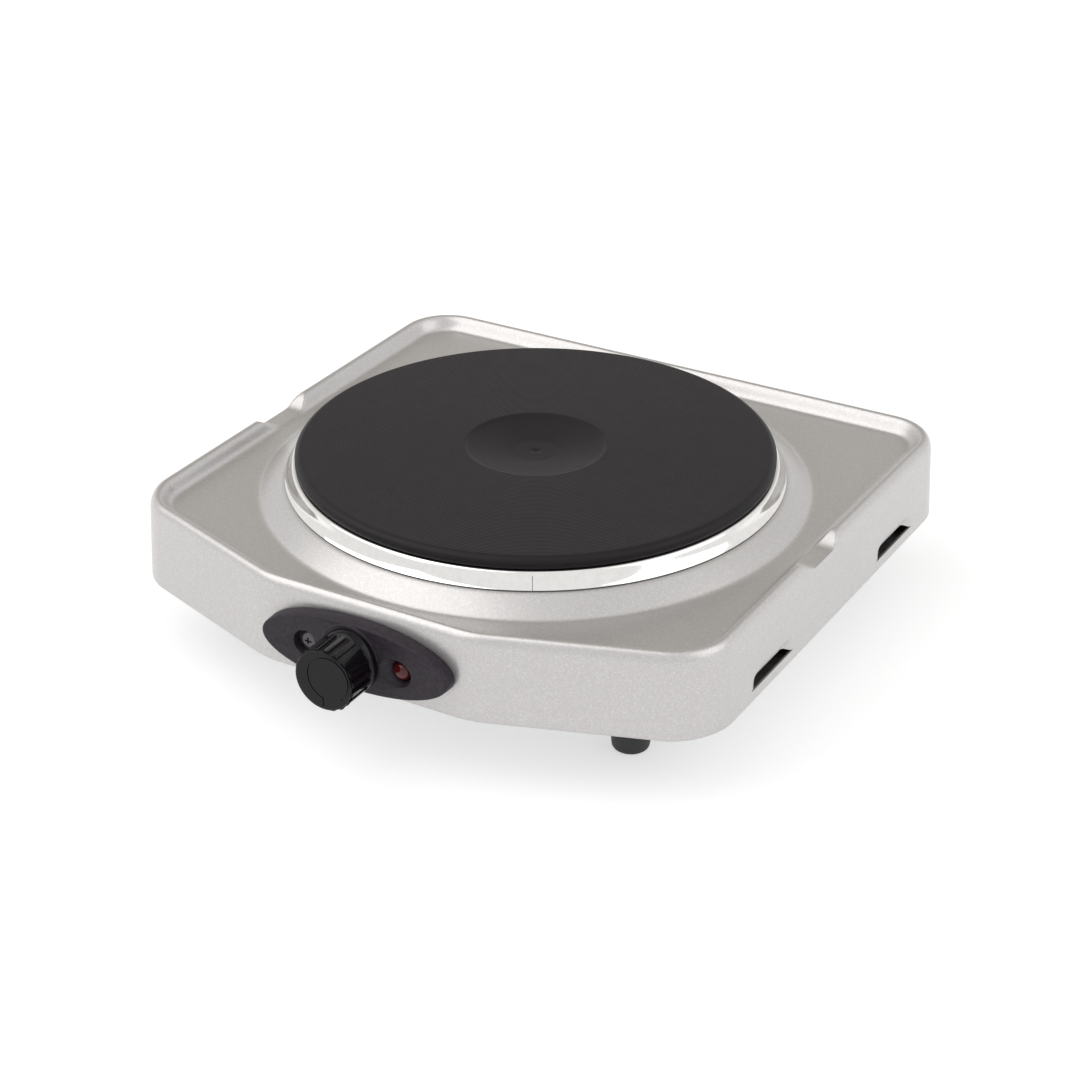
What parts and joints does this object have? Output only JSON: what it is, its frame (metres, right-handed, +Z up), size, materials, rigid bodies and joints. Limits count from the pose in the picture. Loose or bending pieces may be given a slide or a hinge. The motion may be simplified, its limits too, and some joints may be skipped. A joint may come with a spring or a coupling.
{
  "type": "electric hot plate",
  "caption": "Low countertop hot plate: round cast iron plate on a pressed steel housing with a faceted front, rotary heat control and rubber feet.",
  "frame": {"origin": "middle of the overall footprint, knob and cord gland included, at the height of the surface that the feet stand on", "axes": "+Z up, the control knob faces -Y, +X to the right when facing the knob"},
  "size_m": [0.2408, 0.2646, 0.071],
  "materials": {
    "silver_paint": "satin metallic paint",
    "cast_iron": "matte black, fine turned grooves",
    "stainless_steel": "polished",
    "galvanised_sheet": "dull zinc",
    "panel_plastic": "fine moulded texture",
    "knob_plastic": "semi-gloss",
    "lamp_lens": "translucent red",
    "rubber": "matte",
    "ceramic": "unglazed ceramic",
    "lead_sleeve": "woven glass-fibre sleeve",
    "resistance_wire": "oxidised",
    "brass": "plain",
    "blackened_steel": "black finish",
    "zinc_steel": "bright zinc plating"
  },
  "bodies": {
    "housing": {"base_nut": "zinc_steel", "base_plate": "galvanised_sheet", "bezel_nut": "zinc_steel", "bezel_screw": "blackened_steel", "bimetal_strip": "zinc_steel", "cast_iron_plate": "cast_iron", "centre_stud": "zinc_steel", "clamp_bar": "zinc_steel", "clamp_nut": "zinc_steel", "clamp_washer": "zinc_steel", "control_bezel": "panel_plastic", "cord_gland": "rubber", "earth_screw": "zinc_steel", "element_bed": "ceramic", "element_cover": "galvanised_sheet", "element_pin_1": "brass", "element_pin_2": "brass", "foot_back_left": "rubber", "foot_back_right": "rubber", "foot_front_left": "rubber", "foot_front_right": "rubber", "foot_nut_back_left": "zinc_steel", "foot_nut_back_right": "zinc_steel", "foot_nut_front_left": "zinc_steel", "foot_nut_front_right": "zinc_steel", "foot_screw_back_left": "zinc_steel", "foot_screw_back_right": "zinc_steel", "foot_screw_front_left": "zinc_steel", "foot_screw_front_right": "zinc_steel", "heat_shield": "galvanised_sheet", "heating_coil": "resistance_wire", "lead_earth": "lead_sleeve", "lead_heater_back": "lead_sleeve", "lead_heater_front": "lead_sleeve", "lead_lamp": "lead_sleeve", "lead_live": "lead_sleeve", "pilot_lamp_body": "panel_plastic", "pilot_lamp_lens": "lamp_lens", "shield_nut": "zinc_steel", "terminal_block": "ceramic", "terminal_screw_1": "brass", "terminal_screw_2": "brass", "terminal_screw_3": "brass", "thermostat_body": "ceramic", "thermostat_bracket": "zinc_steel", "top_housing": "silver_paint", "trim_ring": "stainless_steel"},
    "control": {"control_knob": "knob_plastic", "control_shaft": "zinc_steel"},
    "contact": {"contact_arm": "brass"}
  },
  "joints": [
    {"name": "knob_turn", "type": "hinge", "parent": "housing", "child": "control", "pos_m": [-0.0014, -0.10985, 0.0411], "axis": [0, 1, 0], "range_deg": [0, 270]},
    {"name": "contact_lift", "type": "hinge", "parent": "housing", "child": "contact", "pos_m": [-0.0104, -0.091, 0.0411], "axis": [0, 0, 1], "range_deg": [0, 3.5]}
  ],
  "couplings": [
    {"joint": "contact_lift", "follows": "knob_turn", "ratio": 0.011111}
  ]
}
